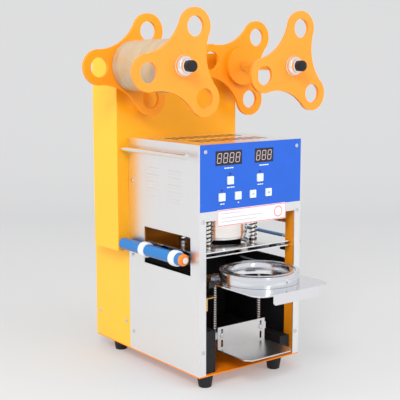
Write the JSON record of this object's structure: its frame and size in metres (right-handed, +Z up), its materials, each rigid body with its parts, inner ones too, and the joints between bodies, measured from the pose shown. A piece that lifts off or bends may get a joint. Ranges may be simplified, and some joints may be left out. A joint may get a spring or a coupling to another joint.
{
  "type": "cup sealing machine",
  "caption": "Countertop cup sealing machine with a pull-out cup drawer, a cam-driven heated press head, film reels and feed rollers.",
  "frame": {"origin": "on the surface the feet stand on, under the middle of the whole machine's bounding box with the drawer pulled out", "axes": "+Z up, +X to the operator's right, +Y from the operator towards the rear tower"},
  "size_m": [0.3971, 0.4226, 0.6035],
  "materials": {
    "orange_paint": "gloss powder coat",
    "chassis_paint": "satin powder coat",
    "yellow_paint": "gloss powder coat",
    "rubber": "matt",
    "stainless": "bright brushed",
    "panel_blue": "satin printed",
    "display_glass": "smoked",
    "key_white": "matt",
    "lamp_red": "clear red",
    "board_green": "solder mask",
    "label_white": "satin film",
    "black_plastic": "fine texture",
    "grey_metal": "satin",
    "aluminium": "turned",
    "zinc": "zinc plated",
    "dark_steel": "blackened",
    "chrome": "polished",
    "film_core": "plain",
    "roller_blue": "smooth sleeve"
  },
  "bodies": {
    "frame": {"base_tray": "orange_paint", "body_screws": "zinc", "control_board": "board_green", "control_panel": "panel_blue", "drawer_rails": "dark_steel", "drive_gearmotor": "grey_metal", "feet": "rubber", "film_plates": "stainless", "front_frame": "stainless", "guide_posts": "chrome", "indicator_lamps": "lamp_red", "inner_brackets": "black_plastic", "inner_chassis": "chassis_paint", "label_plate": "label_white", "left_side_panel": "stainless", "lower_housing": "yellow_paint", "power_inlet": "black_plastic", "power_supply": "grey_metal", "rear_cover": "yellow_paint", "reel_bearings": "aluminium", "return_springs": "zinc", "right_side_panel": "stainless", "switch_bezel": "black_plastic", "take_up_motor": "grey_metal", "temperature_display": "display_glass", "time_display": "display_glass", "top_bridge": "aluminium", "top_cover": "stainless", "tower_front": "orange_paint", "tower_rods": "chrome", "tower_shell": "yellow_paint", "wiring_ducts": "black_plastic"},
    "drawer": {"drawer_plate": "stainless", "cup_ring": "aluminium", "drawer_fasteners": "zinc", "hanger_rods": "zinc", "cup_rest": "stainless"},
    "press_head": {"crosshead": "aluminium", "crosshead_hardware": "zinc", "head_shell": "chrome", "heater_block": "aluminium"},
    "cam": {"press_cam": "dark_steel", "camshaft": "chrome"},
    "follower": {"cam_follower": "dark_steel"},
    "left_reel": {"left_reel_shaft": "chrome", "left_reel_plates": "orange_paint", "left_reel_nut": "chrome", "film_roll": "film_core"},
    "right_reel": {"right_reel_shaft": "chrome", "right_reel_plates": "orange_paint", "right_reel_nut": "chrome"},
    "left_feed_roller": {"left_roller": "roller_blue"},
    "right_feed_roller": {"right_roller": "roller_blue"},
    "rocker": {"power_rocker": "black_plastic"},
    "mode_key": {"mode_button": "key_white"},
    "manual_key": {"manual_button": "key_white"},
    "set_key": {"set_button": "key_white"},
    "reset_key": {"reset_button": "key_white"},
    "minus_key": {"minus_button": "key_white"},
    "plus_key": {"plus_button": "key_white"}
  },
  "joints": [
    {"name": "drawer_slide", "type": "slide", "parent": "frame", "child": "drawer", "axis": [0, 1, 0], "range_m": [-0.035, 0.107]},
    {"name": "press_slide", "type": "slide", "parent": "frame", "child": "press_head", "axis": [0, 0, -1], "range_m": [0, 0.036], "stiffness_N_per_m": 1800, "springref_m": -0.035, "deforming": ["return_springs"]},
    {"name": "cam_turn", "type": "hinge", "parent": "frame", "child": "cam", "pos_m": [0.0099, -0.01525, 0.3084], "axis": [0, -1, 0], "range_deg": [0, 170]},
    {"name": "follower_spin", "type": "hinge", "parent": "press_head", "child": "follower", "pos_m": [0.0099, -0.01525, 0.287], "axis": [0, 1, 0], "continuous": true},
    {"name": "left_reel_spin", "type": "hinge", "parent": "frame", "child": "left_reel", "pos_m": [-0.1046, -0.00325, 0.512], "axis": [0, 1, 0], "continuous": true},
    {"name": "right_reel_spin", "type": "hinge", "parent": "frame", "child": "right_reel", "pos_m": [0.1244, -0.00325, 0.512], "axis": [0, 1, 0], "continuous": true},
    {"name": "left_roller_spin", "type": "hinge", "parent": "frame", "child": "left_feed_roller", "pos_m": [-0.1111, -0.00325, 0.2105], "axis": [0, 1, 0], "continuous": true},
    {"name": "right_roller_spin", "type": "hinge", "parent": "frame", "child": "right_feed_roller", "pos_m": [0.1309, -0.00325, 0.2105], "axis": [0, 1, 0], "continuous": true},
    {"name": "power_rocker_tilt", "type": "hinge", "parent": "frame", "child": "rocker", "pos_m": [-0.0021, 0.20425, 0.066], "axis": [1, 0, 0], "range_deg": [0, 16]},
    {"name": "mode_press", "type": "slide", "parent": "frame", "child": "mode_key", "axis": [0, 1, 0], "range_m": [0, 0.001], "stiffness_N_per_m": 400},
    {"name": "manual_press", "type": "slide", "parent": "frame", "child": "manual_key", "axis": [0, 1, 0], "range_m": [0, 0.001], "stiffness_N_per_m": 400},
    {"name": "set_press", "type": "slide", "parent": "frame", "child": "set_key", "axis": [0, 1, 0], "range_m": [0, 0.001], "stiffness_N_per_m": 400},
    {"name": "reset_press", "type": "slide", "parent": "frame", "child": "reset_key", "axis": [0, 1, 0], "range_m": [0, 0.001], "stiffness_N_per_m": 400},
    {"name": "minus_press", "type": "slide", "parent": "frame", "child": "minus_key", "axis": [0, 1, 0], "range_m": [0, 0.001], "stiffness_N_per_m": 400},
    {"name": "plus_press", "type": "slide", "parent": "frame", "child": "plus_key", "axis": [0, 1, 0], "range_m": [0, 0.001], "stiffness_N_per_m": 400}
  ],
  "couplings": [
    {"joint": "cam_turn", "follows": "press_slide", "rad_per_m": 82.418}
  ]
}
